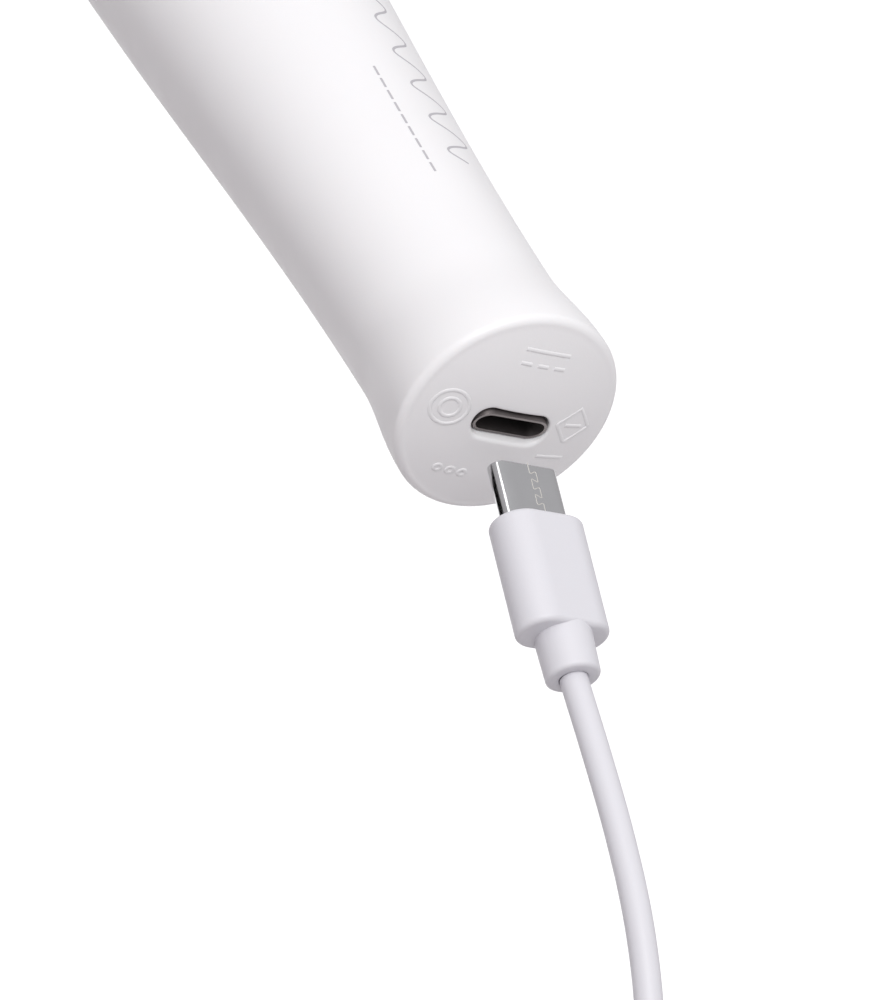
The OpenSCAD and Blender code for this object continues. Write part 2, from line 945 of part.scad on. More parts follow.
// Stretch of the far plug's moulded body, from its start, inset all round
module usb_a_slot(from, to, inset) {
  x_slot(usb_a_relief_l + from, usb_a_relief_l + to, usb_a_body[1] - 2 * inset, usb_a_body[0] - 2 * inset);
}

module usb_a_overmold() {
  color("gainsboro")
    usb_a_frame()
      hull() {
        usb_a_slot(0, skin_l, usb_a_edge[0] / 2);
        usb_a_slot(usb_a_edge[0], usb_a_body[2] - usb_a_edge[1], 0);
        usb_a_slot(usb_a_body[2] - skin_l, usb_a_body[2], usb_a_edge[1]);
      }
}

module usb_a_box(from, to, inset) {
  translate([from, -usb_a_shell_size[1] / 2 + inset, -usb_a_shell_size[0] / 2 + inset])
    cube([to - from, usb_a_shell_size[1] - 2 * inset, usb_a_shell_size[0] - 2 * inset]);
}

module usb_a_shell() {
  color("silver")
    usb_a_frame()
      difference() {
        usb_a_box(usb_a_tip_x - usb_a_shell_size[2], usb_a_tip_x, 0);
        usb_a_box(usb_a_tip_x - usb_a_shell_size[2] - overlap, usb_a_tip_x + overlap, usb_wall);
      }
}

module usb_a_tongue() {
  color("white")
    usb_a_frame()
      translate([
        usb_a_tip_x - usb_a_shell_size[2],
        usb_wall - usb_a_shell_size[1] / 2,
        usb_wall - usb_a_shell_size[0] / 2
      ])
        cube([usb_a_shell_size[2] - usb_a_tongue_back, usb_a_shell_size[1] - 2 * usb_wall, usb_a_tongue_t]);
}

handle_sleeve();
upper_shell();
lower_shell();
case_screws();
button_panel();
power_button();
plus_button();
minus_button();
power_plunger();
plus_plunger();
minus_plunger();
key_switches();
control_board();
board_screws();
light_guide();
status_led();
battery_cell();
battery_pads();
charge_board();
port_shell();
port_tongue();
handle_yoke();
pitch_pins();
neck_ring();
yaw_pins();
head_yoke();
neck_sleeve_rear();
neck_sleeve_front();
motor_leads();
housing_front();
housing_rear();
housing_screws();
motor_bracket();
motor_can();
motor_end_cap();
motor_bushes();
rotor();
eccentric_weight();
head_cover();
plug_shell();
plug_insert();
plug_overmold();
plug_relief();
charge_cable();
cable_coil();
cable_tail();
cable_tie();
usb_a_relief();
usb_a_overmold();
usb_a_shell();
usb_a_tongue();
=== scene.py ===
"""Looks of the handheld wand massager and its charging lead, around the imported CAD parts."""
import json
import math

import bpy
import bmesh
import numpy as np
from mathutils import Matrix, Vector
from mathutils.geometry import delaunay_2d_cdt


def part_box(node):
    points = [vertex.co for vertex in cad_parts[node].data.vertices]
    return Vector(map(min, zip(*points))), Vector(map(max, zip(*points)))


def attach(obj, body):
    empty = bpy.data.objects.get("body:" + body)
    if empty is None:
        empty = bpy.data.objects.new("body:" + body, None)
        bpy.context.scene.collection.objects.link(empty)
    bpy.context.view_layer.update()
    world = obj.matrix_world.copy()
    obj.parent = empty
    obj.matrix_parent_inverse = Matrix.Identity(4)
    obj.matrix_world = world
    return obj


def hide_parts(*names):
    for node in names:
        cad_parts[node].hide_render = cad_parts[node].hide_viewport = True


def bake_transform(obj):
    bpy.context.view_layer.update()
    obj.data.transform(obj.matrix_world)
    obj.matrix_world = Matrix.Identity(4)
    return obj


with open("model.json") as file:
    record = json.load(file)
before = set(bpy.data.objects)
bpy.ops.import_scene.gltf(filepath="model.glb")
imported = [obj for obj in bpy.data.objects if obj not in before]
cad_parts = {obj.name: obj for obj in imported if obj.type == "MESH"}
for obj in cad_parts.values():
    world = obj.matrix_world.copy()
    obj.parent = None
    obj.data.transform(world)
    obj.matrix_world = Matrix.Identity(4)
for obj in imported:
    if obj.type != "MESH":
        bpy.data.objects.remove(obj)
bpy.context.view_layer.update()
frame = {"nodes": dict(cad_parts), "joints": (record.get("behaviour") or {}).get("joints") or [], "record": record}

MM = 0.001

# ---------------------------------------------------------------- sizes, as in the CAD source, in metres

JOINTS = {joint["name"]: joint for joint in frame["joints"]}
MOUNTS = {mount["name"]: mount for mount in frame["record"]["mounts"]}

SLEEVE_LOW, SLEEVE_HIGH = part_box("handle_sleeve")
SHOULDER_X = SLEEVE_LOW.x
DOME_H = 1.5 * MM
RIM_X = SLEEVE_HIGH.x - DOME_H
RIM_EDGE = 1.0 * MM
SLEEVE_T = 1.8 * MM
# Places along the handle where its radius turns, as (x, radius)
SHOULDER = (SHOULDER_X, 11.8 * MM)
BELLY = (RIM_X - 100 * MM, 14.4 * MM)
WAIST = (RIM_X - 13.5 * MM, 11.4 * MM)
RIM = (RIM_X - RIM_EDGE, 12.55 * MM)
FACE_R = RIM[1] - RIM_EDGE
END_WALL_X = RIM_X - 1.0 * MM

MOUTH = Vector(MOUNTS["charging_port"]["pos_m"])
PORT_OUT = Vector(MOUNTS["charging_port"]["axis"]).normalized()
PORT_SIDE = Vector((0, 1, 0))
PORT_UP = PORT_OUT.cross(PORT_SIDE)
MOUTH_W, MOUTH_H = 9.4 * MM, 3.6 * MM

PIVOT_X = JOINTS["neck_pitch"]["pos_m"][0]
HEAD_X = 2 * PIVOT_X - SHOULDER_X
BELLOWS_R, BELLOWS_T, GROOVE = 12.0 * MM, 1.8 * MM, 0.9 * MM
RIBS_A_HALF = 3

HEAD_MID_X = MOUNTS["head_barrel"]["pos_m"][0]
HEAD_R = MOUNTS["head_barrel"]["dims"]["r_mm"] * MM
BARREL_L = MOUNTS["head_barrel"]["dims"]["length_mm"] * MM
CROWN_L = HEAD_MID_X - BARREL_L / 2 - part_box("head_cover")[0].x
CROWN_POWER = 2.5
HEAD_JOIN_R = 12.6 * MM
COVER_T = 2.5 * MM

BUTTON_PROUD = 0.5 * MM
FLANGE_W, FLANGE_T = 0.6 * MM, 0.8 * MM
STEM_R = 1.75 * MM
RUN_GAP, SEAT_GAP = 0.1 * MM, 0.05 * MM

CABLE_D = 3.0 * MM
PLUG_GAP = 5.0 * MM
USB_C_W, USB_C_H, USB_C_L = 8.25 * MM, 2.4 * MM, 6.65 * MM
USB_WALL = 0.3 * MM
OVERMOLD_W, OVERMOLD_H, OVERMOLD_L = 10.8 * MM, 6.2 * MM, 13.5 * MM
RELIEF_R, RELIEF_TAPER, RELIEF_L = 3.1 * MM, 0.15 * MM, 5.0 * MM
USB_A_BODY_W, USB_A_BODY_H, USB_A_BODY_L = 15.6 * MM, 8 * MM, 21 * MM
USB_A_W, USB_A_H, USB_A_L = 12 * MM, 4.5 * MM, 12.4 * MM
USB_A_RELIEF_R, USB_A_RELIEF_GROWTH, USB_A_RELIEF_L = 2.3 * MM, 0.8 * MM, 8 * MM

# ---------------------------------------------------------------- camera, at the photo's viewing angle

VIEW_AZIMUTH, VIEW_ELEVATION, VIEW_ROLL = 49.47, 26.37, 30.5
VIEW_DISTANCE = 1.2
VIEW_HEIGHT = 103.1 * MM
# The picture's centre, from the port's mouth: along its width, and up it
VIEW_OFFSET = (-7.4 * MM, -7.29 * MM)


def view_axes():
    """The picture's right, its up and the way back to the camera."""
    a, e, roll = (math.radians(x) for x in (VIEW_AZIMUTH, VIEW_ELEVATION, VIEW_ROLL))
    back = Vector((math.sin(a) * math.cos(e), -math.cos(a) * math.cos(e), math.sin(e)))
    level = Vector((math.cos(a), math.sin(a), 0))
    upright = back.cross(level)
    right = math.cos(roll) * level + math.sin(roll) * upright
    return right, back.cross(right), back


def add_camera():
    right, up, back = view_axes()
    centre = MOUTH + right * VIEW_OFFSET[0] + up * VIEW_OFFSET[1]
    data = bpy.data.cameras.new("camera")
    data.sensor_fit = "AUTO"
    data.sensor_width = 36
    data.lens = data.sensor_width / 2 / (VIEW_HEIGHT / 2 / VIEW_DISTANCE)
    data.clip_start, data.clip_end = 0.05, 20
    camera = bpy.data.objects.new("camera", data)
    axes = Matrix((right, up, back)).transposed()
    camera.matrix_world = Matrix.Translation(centre + back * VIEW_DISTANCE) @ axes.to_4x4()
    bpy.context.scene.collection.objects.link(camera)
    bpy.context.scene.camera = camera


add_camera()

# ---------------------------------------------------------------- mesh tools


def new_piece(name, points, faces, body, material, slot, replaces=(), sharp=35):
    """A mesh object in the shared frame that rides on a body."""
    mesh = bpy.data.meshes.new(name)
    mesh.from_pydata([tuple(p) for p in points], [], faces)
    bm = bmesh.new()
    bm.from_mesh(mesh)
    bmesh.ops.remove_doubles(bm, verts=bm.verts, dist=1e-7)
    bmesh.ops.recalc_face_normals(bm, faces=bm.faces)
    bm.to_mesh(mesh)
    bm.free()
    piece = bpy.data.objects.new(name, mesh)
    bpy.context.scene.collection.objects.link(piece)
    return dress(piece, body, material, replaces, sharp)


def dress(piece, body, material, replaces=(), sharp=35):
    """Gives a piece its shading, material and body."""
    shade(piece, sharp)
    piece.data.materials.clear()
    piece.data.materials.append(material)
    if body:
        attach(piece, body)
    if replaces:
        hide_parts(*replaces)
    return piece


def shade(piece, sharp):
    """Smooth shading, with edges over the angle sharp kept crisp."""
    for face in piece.data.polygons:
        face.use_smooth = True
    bm = bmesh.new()
    bm.from_mesh(piece.data)
    limit = math.radians(sharp)
    for edge in bm.edges:
        edge.smooth = not (edge.is_manifold and edge.calc_face_angle(0) > limit)
    bm.to_mesh(piece.data)
    bm.free()


def bridge(rings, closed=True, start_cap=True, end_cap=True):
    """Points and faces of a skin over rings of equally many points."""
    n = len(rings[0])
    points = [p for ring in rings for p in ring]
    faces = []
    for i in range(len(rings) - 1):
        for k in range(n if closed else n - 1):
            a, b = i * n + k, i * n + (k + 1) % n
            faces.append((a, b, b + n, a + n))
    if start_cap:
        faces.append(tuple(range(n)))
    if end_cap:
        faces.append(tuple(reversed(range(len(points) - n, len(points)))))
    return points, faces


def lathe_rings(profile, around):
    """Rings about the X axis for a profile of (x, radius)."""
    turns = [2 * math.pi * k / around for k in range(around)]
    return [[Vector((x, r * math.sin(t), r * math.cos(t))) for t in turns] for x, r in profile]


def smooth_path(points, step):
    """Evenly spaced points on a smooth curve through the given ones."""
    points = [Vector(p) for p in points]
    ends = [2 * points[0] - points[1], *points, 2 * points[-1] - points[-2]]
    fine = []
    for a, b, c, d in zip(ends, ends[1:], ends[2:], ends[3:]):
        for i in range(24):
            t = i / 24
            fine.append(0.5 * (2 * b + (c - a) * t + (2 * a - 5 * b + 4 * c - d) * t * t
                               + (3 * b - a - 3 * c + d) * t ** 3))
    fine.append(points[-1])
    return even_path(fine, step)


def even_path(points, step):
    line = np.array([tuple(p) for p in points])
    along = np.concatenate([[0], np.cumsum(np.linalg.norm(np.diff(line, axis=0), axis=1))])
    at = np.linspace(0, along[-1], max(2, round(along[-1] / step) + 1))
    return [Vector(p) for p in np.stack([np.interp(at, along, line[:, k]) for k in range(3)], axis=1)]


def tube(points, radius, sides=24):
    """Skin of a round tube along a path."""
    tangents = [(points[min(i + 1, len(points) - 1)] - points[max(i - 1, 0)]).normalized()
                for i in range(len(points))]
    side = tangents[0].orthogonal().normalized()
    rings = []
    for p, t in zip(points, tangents):
        side = (side - t * side.dot(t)).normalized()
        other = t.cross(side)
        turns = [2 * math.pi * k / sides for k in range(sides)]
        rings.append([p + radius * (math.cos(a) * side + math.sin(a) * other) for a in turns])
    return bridge(rings)


def swing(x, a, b):
    """Radius that swings smoothly from one (x, radius) place to another."""
    t = (x - a[0]) / (b[0] - a[0])
    return a[1] + (b[1] - a[1]) * (1 - math.cos(math.pi * t)) / 2


def handle_r(x):
    if x > WAIST[0]:
        return swing(x, WAIST, RIM)
    if x > BELLY[0]:
        return swing(x, BELLY, WAIST)
    return swing(x, BELLY, SHOULDER)


def dome_x(y, z):
    """Place along X of the domed end face."""
    return RIM_X + DOME_H * (1 - (y * y + z * z) / FACE_R ** 2)


def spread(a, b, n):
    return [a + (b - a) * i / n for i in range(n + 1)]


# ---------------------------------------------------------------- materials


def srgb(*rgb):
    """Linear colour from sRGB values of 0 to 1."""
    return tuple(c / 12.92 if c <= 0.04045 else ((c + 0.055) / 1.055) ** 2.4 for c in rgb) + (1,)


class Finish:
    """A procedural material: a shader, and fine noise for its colour, gloss and relief."""

    def __init__(self, name, colour, roughness, metallic=0.0, specular=0.5):
        self.material = bpy.data.materials.new(name)
        self.material.use_nodes = True
        self.nodes = self.material.node_tree.nodes
        self.links = self.material.node_tree.links
        self.shader = self.nodes["Principled BSDF"]
        self.colour, self.roughness = colour, roughness
        self.shader.inputs["Base Color"].default_value = colour
        self.shader.inputs["Roughness"].default_value = roughness
        self.shader.inputs["Metallic"].default_value = metallic
        self.shader.inputs["Specular IOR Level"].default_value = specular
        self.place = self.nodes.new("ShaderNodeTexCoord").outputs["Object"]
        self.height = None

    def noise(self, scale, detail=4.0, stretch=None):
        """A noise pattern in the object's own space; scale is in turns a metre."""
        node = self.nodes.new("ShaderNodeTexNoise")
        node.inputs["Scale"].default_value = scale
        node.inputs["Detail"].default_value = detail
        place = self.place
        if stretch:
            mapping = self.nodes.new("ShaderNodeMapping")
            mapping.inputs["Scale"].default_value = stretch
            self.links.new(place, mapping.inputs["Vector"])
            place = mapping.outputs["Vector"]
        self.links.new(place, node.inputs["Vector"])
        return node.outputs["Fac"]

    def ramp(self, value, low, high, at=(0.3, 0.7)):
        """A colour that goes from low to high as value rises."""
        node = self.nodes.new("ShaderNodeValToRGB")
        node.color_ramp.elements[0].position, node.color_ramp.elements[1].position = at
        node.color_ramp.elements[0].color, node.color_ramp.elements[1].color = low, high
        self.links.new(value, node.inputs["Fac"])
        return node.outputs["Color"]

    def spread_range(self, value, low, high):
        node = self.nodes.new("ShaderNodeMapRange")
        node.inputs["From Min"].default_value, node.inputs["From Max"].default_value = 0.3, 0.7
        node.inputs["To Min"].default_value, node.inputs["To Max"].default_value = low, high
        self.links.new(value, node.inputs["Value"])
        return node.outputs["Result"]

    def mottle(self, amount, scale=60.0):
        """Slight variation of the colour."""
        dark = tuple(c * (1 - amount) for c in self.colour[:3]) + (1,)
        self.links.new(self.ramp(self.noise(scale), dark, self.colour), self.shader.inputs["Base Color"])
        return self

    def uneven_gloss(self, amount, scale=180.0):
        low, high = max(0.02, self.roughness - amount), min(1.0, self.roughness + amount)
        self.links.new(self.spread_range(self.noise(scale), low, high), self.shader.inputs["Roughness"])
        return self

    def relief(self, value, depth, strength=1.0):
        """Adds a bump of that depth in metres."""
        node = self.nodes.new("ShaderNodeBump")
        node.inputs["Strength"].default_value = strength
        node.inputs["Distance"].default_value = depth
        self.links.new(value, node.inputs["Height"])
        if self.height:
            self.links.new(self.height, node.inputs["Normal"])
        self.height = node.outputs["Normal"]
        self.links.new(self.height, self.shader.inputs["Normal"])
        return self

    def set(self, **values):
        for key, value in values.items():
            self.shader.inputs[key.replace("_", " ")].default_value = value
        return self


def soft_plastic(name, colour, roughness, grain=0.012 * MM, skin=0.08):
    """Satin silicone or TPE: a fine grain, a soft depth and a faint sheen."""
    finish = Finish(name, colour, roughness).mottle(0.012).uneven_gloss(0.05)
    finish.relief(finish.noise(4200, 3), grain, 0.5)
    finish.set(Subsurface_Weight=skin, Subsurface_Scale=0.8 * MM, Subsurface_Radius=(1.0, 0.9, 0.85))
    return finish.material


def hard_plastic(name, colour, roughness):
    finish = Finish(name, colour, roughness).mottle(0.02).uneven_gloss(0.04)
    finish.relief(finish.noise(2600, 3), 0.01 * MM, 0.5)
    return finish.material


def metal(name, colour, roughness, brushed=None):
    finish = Finish(name, colour, roughness, metallic=1.0).mottle(0.04, 300).uneven_gloss(0.04, 500)
    if brushed:
        finish.relief(finish.noise(2500, 2, brushed), 0.004 * MM, 0.6)
    return finish.material


def board_finish():
    """Green solder mask with pale copper tracks under it."""
    finish = Finish("solder_mask", srgb(0.05, 0.33, 0.16), 0.3)
    finish.links.new(
        finish.ramp(finish.noise(420, 0), srgb(0.04, 0.27, 0.12), srgb(0.12, 0.45, 0.24), (0.49, 0.51)),
        finish.shader.inputs["Base Color"])
    return finish.material


def foam_finish():
    finish = Finish("foam", srgb(0.16, 0.16, 0.16), 0.95).mottle(0.3, 1500)
    return finish.relief(finish.noise(1800, 4), 0.15 * MM).material


def clear_finish():
    return Finish("frosted_acrylic", srgb(0.93, 0.95, 0.97), 0.3).uneven_gloss(0.08).set(
        Transmission_Weight=0.15, IOR=1.49).material


SILICONE = soft_plastic("white_silicone", srgb(0.955, 0.95, 0.955), 0.42)
TPE = soft_plastic("white_tpe", srgb(0.865, 0.86, 0.88), 0.48)
INK = hard_plastic("grey_ink", srgb(0.74, 0.73, 0.75), 0.45)
SYMBOL = hard_plastic("symbol_ink", srgb(0.42, 0.42, 0.44), 0.4)
NICKEL = metal("nickel", (0.62, 0.62, 0.63, 1), 0.16, (1, 1, 1))
# dark metal for the port's shell: painted shade standing in for the darkness inside the port's recess
PORT_SHELL_SHADE = metal("nickel_painted_shade", (0.2, 0.18, 0.18, 1), 0.5)
# paler metal for the plug shell's seam: a painted highlight along the seam's edge
SEAM_PAINTED_HIGHLIGHT = metal("seam_painted_highlight", (0.93, 0.9, 0.84, 1), 0.4)

FINISHES = {
    "soft_sleeve": SILICONE,
    "shell_plastic": hard_plastic("grey_abs", srgb(0.86, 0.86, 0.85), 0.45),
    "panel_plastic": hard_plastic("gloss_abs", srgb(0.94, 0.94, 0.945), 0.18),
    "button_metal": metal("satin_silver", (0.72, 0.72, 0.74, 1), 0.25, (1, 12, 1)),
    "button_plastic": hard_plastic("satin_abs", srgb(0.93, 0.93, 0.94), 0.35),
    "switch_plastic": hard_plastic("black_nylon", srgb(0.09, 0.09, 0.09), 0.5),
    "circuit_board": board_finish(),
    "steel": metal("zinc_steel", (0.56, 0.57, 0.58, 1), 0.35, (8, 1, 1)),
    "light_guide": clear_finish(),
    "cell_wrap": hard_plastic("blue_wrap", srgb(0.12, 0.32, 0.62), 0.25),
    "foam": foam_finish(),
    "connector_metal": NICKEL,
    "connector_plastic": hard_plastic("black_lcp", srgb(0.13, 0.12, 0.12), 0.4),
    "frame_plastic": hard_plastic("grey_acetal", srgb(0.28, 0.28, 0.29), 0.4),
    "lead_insulation": hard_plastic("red_pvc", srgb(0.7, 0.1, 0.08), 0.3),
    "motor_steel": metal("drawn_steel", (0.5, 0.51, 0.52, 1), 0.3, (1, 14, 14)),
    "brass": metal("turned_brass", (0.72, 0.5, 0.2, 1), 0.28, (14, 1, 1)),
    "cable_plastic": TPE,
    "tie_plastic": soft_plastic("tie_silicone", srgb(0.8, 0.8, 0.81), 0.55),
}


def finish_cad_nodes():
    """Every CAD node takes the procedural material of its slot; the port's shell is darkened metal, painted shade
    for the recess it sits in.
    """
    for part in frame["record"]["subparts"]:
        node = frame["nodes"][part["node"]]
        # the port's shell takes the dark metal, painted shade of its recess
        finish = PORT_SHELL_SHADE if part["node"] == "port_shell" else FINISHES[part["material_slot"]]
        node.data.materials.clear()
        node.data.materials.append(finish)
        shade(node, 30)


# ---------------------------------------------------------------- charging lead

PLUG_TIP = MOUTH + PORT_OUT * PLUG_GAP
OVERMOLD_AT = PLUG_TIP + PORT_OUT * USB_C_L
RELIEF_AT = OVERMOLD_AT + PORT_OUT * OVERMOLD_L
CABLE_EXIT = RELIEF_AT + PORT_OUT * RELIEF_L
ROUTE = [Vector(p) * MM for p in (
    (120, 0, -14), (128, 0, -16.6), (136, 0, -19.8), (143, 0, -23.6), (149.5, 0, -28.3),
    (155, 0, -34), (159.4, 0, -41), (162.4, 0, -49), (163.8, 0, -57), (164, 0, -66))]
COIL_INNER_R = 14.8 * MM
COIL_TURNS = 4
TURN_STEP = CABLE_D + 0.1 * MM
COIL_OUTER_R = COIL_INNER_R + TURN_STEP
COIL_AT = Vector((ROUTE[-1].x - COIL_OUTER_R, 0, -76 * MM))
COIL_HALF_W = COIL_TURNS * TURN_STEP / 2
LEAD_Y = COIL_HALF_W - TURN_STEP / 2
TAIL_Y = COIL_HALF_W + TURN_STEP / 2
LEAD_IN = [Vector((ROUTE[-1].x, LEAD_Y / 2, -71 * MM))]
USB_A_AT = Vector((ROUTE[-1].x, TAIL_Y, COIL_AT.z - 14 * MM))


def ease(t):
    t = min(1.0, max(0.0, t))
    return t * t * (3 - 2 * t)


def coil_place(turn):
    """Place along Y and radius after so many turns; each lies flat, then shifts in its last quarter."""
    k, share = divmod(turn, 1)
    shift = ease(4 * share - 3)
    if k < COIL_TURNS - 1:
        return LEAD_Y - TURN_STEP * (k + shift), COIL_OUTER_R
    if k < COIL_TURNS:
        return -LEAD_Y, COIL_OUTER_R - TURN_STEP * ease(4 * share - 2)
    if k < 2 * COIL_TURNS:
        return -LEAD_Y + TURN_STEP * (k - COIL_TURNS + shift), COIL_INNER_R
    return TAIL_Y, COIL_INNER_R + TURN_STEP * ease(share)


def coil_points():
    """The stored turns: an outer layer, an inner one back, and one turn beside them out to the tail."""
    points = []
    a_turn = 48
    for i in range(1, (2 * COIL_TURNS + 1) * a_turn):
        y, r = coil_place(i / a_turn)
        a = -2 * math.pi * i / a_turn
        points.append(COIL_AT + Vector((r * math.cos(a), y, r * math.sin(a))))
    return points


def lead_path():
    """The cable's centreline from the collar of one plug to that of the other."""
    coil_start = COIL_AT + Vector((COIL_OUTER_R, LEAD_Y, 0))
    lead = smooth_path([CABLE_EXIT, *ROUTE, *LEAD_IN, coil_start], 1.5 * MM)
    tail = [Vector((USB_A_AT.x, TAIL_Y, COIL_AT.z)), USB_A_AT]
    return even_path(lead + coil_points() + tail, 1.2 * MM)


LEAD_PATH = lead_path()
CORD = new_piece("charging_cord", *tube(LEAD_PATH, CABLE_D / 2), "charging_plug", TPE, "cable_plastic",
                 ["charge_cable", "cable_coil", "cable_tail"])

# ---------------------------------------------------------------- plug at the port


def in_port(t, y, s):
    """A point t out of the port's mouth, y along the slot and s across it."""
    return MOUTH + PORT_OUT * t + PORT_SIDE * y + PORT_UP * s


def stadium(w, h, sides=96):
    """Outline of a slot with round ends, evenly spaced round its middle by direction."""
    flat = (w - h) / 2
    points = []
    for k in range(sides):
        a = 2 * math.pi * k / sides
        c, s = math.cos(a), math.sin(a)
        reach = h / 2 / abs(s) if abs(s) > 1e-9 else math.inf
        if reach * abs(c) > flat:
            reach = flat * abs(c) + math.sqrt((h / 2) ** 2 - (flat * s) ** 2)
        points.append((reach * c, reach * s))
    return points


def port_ring(t, w, h, sides=96):
    return [in_port(t, y, s) for y, s in stadium(w, h, sides)]


def rounded_ends(length, radius_in, radius_out, steps=8):
    """(distance along, inset) of a body whose ends are rounded."""
    turns = [math.pi / 2 * i / steps for i in range(steps + 1)]
    first = [(radius_in * (1 - math.sin(a)), radius_in * (1 - math.cos(a))) for a in reversed(turns)]
    last = [(length - radius_out * (1 - math.sin(a)), radius_out * (1 - math.cos(a))) for a in turns]
    return first + last


def add_plug():
    """Metal shell with its folded seam, moulded body and stepped collar."""
    return [add_plug_shell(), add_plug_body(), add_plug_collar(), add_plug_seam()]


def add_plug_shell():
    """Open tube of sheet metal with a rolled lip, reaching into the moulded body."""
    lip, hidden = 0.08 * MM, 2 * MM
    tip, back = PLUG_GAP, PLUG_GAP + USB_C_L + hidden
    outside = [port_ring(tip + d, USB_C_W - 2 * i, USB_C_H - 2 * i)
               for d, i in rounded_ends(back - tip, lip, lip)]
    inside = [port_ring(t, USB_C_W - 2 * USB_WALL, USB_C_H - 2 * USB_WALL) for t in (back, tip + 0.1 * MM)]
    skin = bridge(outside + inside + outside[:1], start_cap=False, end_cap=False)
    return new_piece("plug_shell_skin", *skin, "charging_plug", NICKEL, "connector_metal", ["plug_shell"])


def add_plug_body():
    start, edge = PLUG_GAP + USB_C_L, 0.6 * MM
    rings = [port_ring(start + d, OVERMOLD_W - 2 * i, OVERMOLD_H - 2 * i)
             for d, i in rounded_ends(OVERMOLD_L, edge, edge, 10)]
    return new_piece("plug_body", *bridge(rings), "charging_plug", TPE, "cable_plastic",
                     ["plug_overmold"], 60)


def add_plug_collar():
    """Round collar that starts inside the body and closes on the cable."""
    hidden = 1.5 * MM
    start = PLUG_GAP + USB_C_L + OVERMOLD_L
    end = start + RELIEF_L
    profile = [(start - hidden + d, RELIEF_R - RELIEF_TAPER * d / RELIEF_L - i)
               for d, i in rounded_ends(RELIEF_L + hidden, 0.2 * MM, 0.45 * MM, 8)]
    for back, gap in ((0, 0.14), (0.1, 0.02), (0.5, -0.05)):
        profile.append((end - back * MM, CABLE_D / 2 + gap * MM))
    rings = [port_ring(t, 2 * r, 2 * r, 72) for t, r in profile]
    return new_piece("plug_collar", *bridge(rings), "charging_plug", TPE, "cable_plastic",
                     ["plug_relief"], 60)


def add_plug_seam():
    """The folded sheet's dovetail seam, a fine ridge along the shell's upper face, in paler metal as a painted
    highlight.
    """
    step, swing_by, slant = 0.95 * MM, 0.42 * MM, 0.2 * MM
    line = []
    for i in range(round(USB_C_L / step)):
        a, b = PLUG_GAP + i * step, PLUG_GAP + (i + 1) * step
        side = swing_by if i % 2 else -swing_by
        line += [(a - slant, side), (b + slant, side)]
    off_middle = 0.4 * MM
    points, faces = ridge(rounded_corners(line, 0.24 * MM), 0.1 * MM, 0.012 * MM,
                          lambda t, y, up: in_port(t, y + off_middle, USB_C_H / 2 + up))
    return new_piece("plug_seam", points, faces, "charging_plug", SEAM_PAINTED_HIGHLIGHT, "connector_metal")


def rounded_corners(line, radius, steps=4):
    """A polyline with each corner rounded."""
    line = [Vector(p) for p in line]
    made = [line[0]]
    for a, b, c in zip(line, line[1:], line[2:]):
        cut = min(radius, (b - a).length / 2, (c - b).length / 2)
        p, q = b + (a - b).normalized() * cut, b + (c - b).normalized() * cut
        for i in range(steps + 1):
            t = i / steps
            made.append(p * (1 - t) ** 2 + b * 2 * t * (1 - t) + q * t * t)
    return made + [line[-1]]


def ridge(line, width, height, surface, closed=False):
    """A low rounded ridge along a 2-D line on a surface(u, v, height above it)."""
    line = [Vector(p) for p in line]
    n = len(line)
    arch = [(-0.5, -0.3), (-0.5, 0), (-0.32, 0.75), (0, 1), (0.32, 0.75), (0.5, 0), (0.5, -0.3)]
    rings = []
    for i, p in enumerate(line):
        before = line[i - 1] if closed or i else p
        after = line[(i + 1) % n] if closed or i < n - 1 else p
        along = (after - before).normalized()
        across = Vector((-along.y, along.x))
        rings.append([surface(*(p + across * width * a), height * b) for a, b in arch])
    if closed:
        return bridge(rings + rings[:1], start_cap=False, end_cap=False)
    return bridge(rings)


PLUG_PIECES = add_plug()

# ---------------------------------------------------------------- far plug and tie


def far_ring(down, w, h, sides=72):
    """Ring round the far plug, w along Y and h along X, at a distance below its cable."""
    return [USB_A_AT + Vector((x, y, -down)) for y, x in stadium(w, h, sides)]


def rounded_box(w, h, radius, steps=6):
    """Outline of a rectangle with rounded corners."""
    points = []
    for quarter, (sx, sy) in enumerate(((1, 1), (-1, 1), (-1, -1), (1, -1))):
        for i in range(steps + 1):
            a = math.pi / 2 * (quarter + i / steps)
            points.append((sx * (w / 2 - radius) + radius * math.cos(a),
                           sy * (h / 2 - radius) + radius * math.sin(a)))
    return points


def add_far_plug():
    """USB-A plug: tapered relief with rings, moulded body, and folded shell with its latch holes."""
    return [add_far_relief(), add_far_body(), add_far_shell()]


def add_far_relief():
    grooves, groove, hidden = 4, 0.28 * MM, 1 * MM

    def radius(d):
        cut_in = math.sin(2 * grooves * math.pi * d / USB_A_RELIEF_L) > 0.3
        return USB_A_RELIEF_R + USB_A_RELIEF_GROWTH * d / USB_A_RELIEF_L - groove * cut_in

    rings = [far_ring(d, 2 * radius(d), 2 * radius(d), 48) for d in spread(0, USB_A_RELIEF_L + hidden, 72)]
    return new_piece("far_relief", *bridge(rings), "charging_plug", TPE, "cable_plastic",
                     ["usb_a_relief"], 60)


def add_far_body():
    rings = [far_ring(USB_A_RELIEF_L + d, USB_A_BODY_W - 2 * i, USB_A_BODY_H - 2 * i)
             for d, i in rounded_ends(USB_A_BODY_L, 1.6 * MM, 0.7 * MM, 10)]
    return new_piece("far_body", *bridge(rings), "charging_plug", TPE, "cable_plastic",
                     ["usb_a_overmold"], 60)


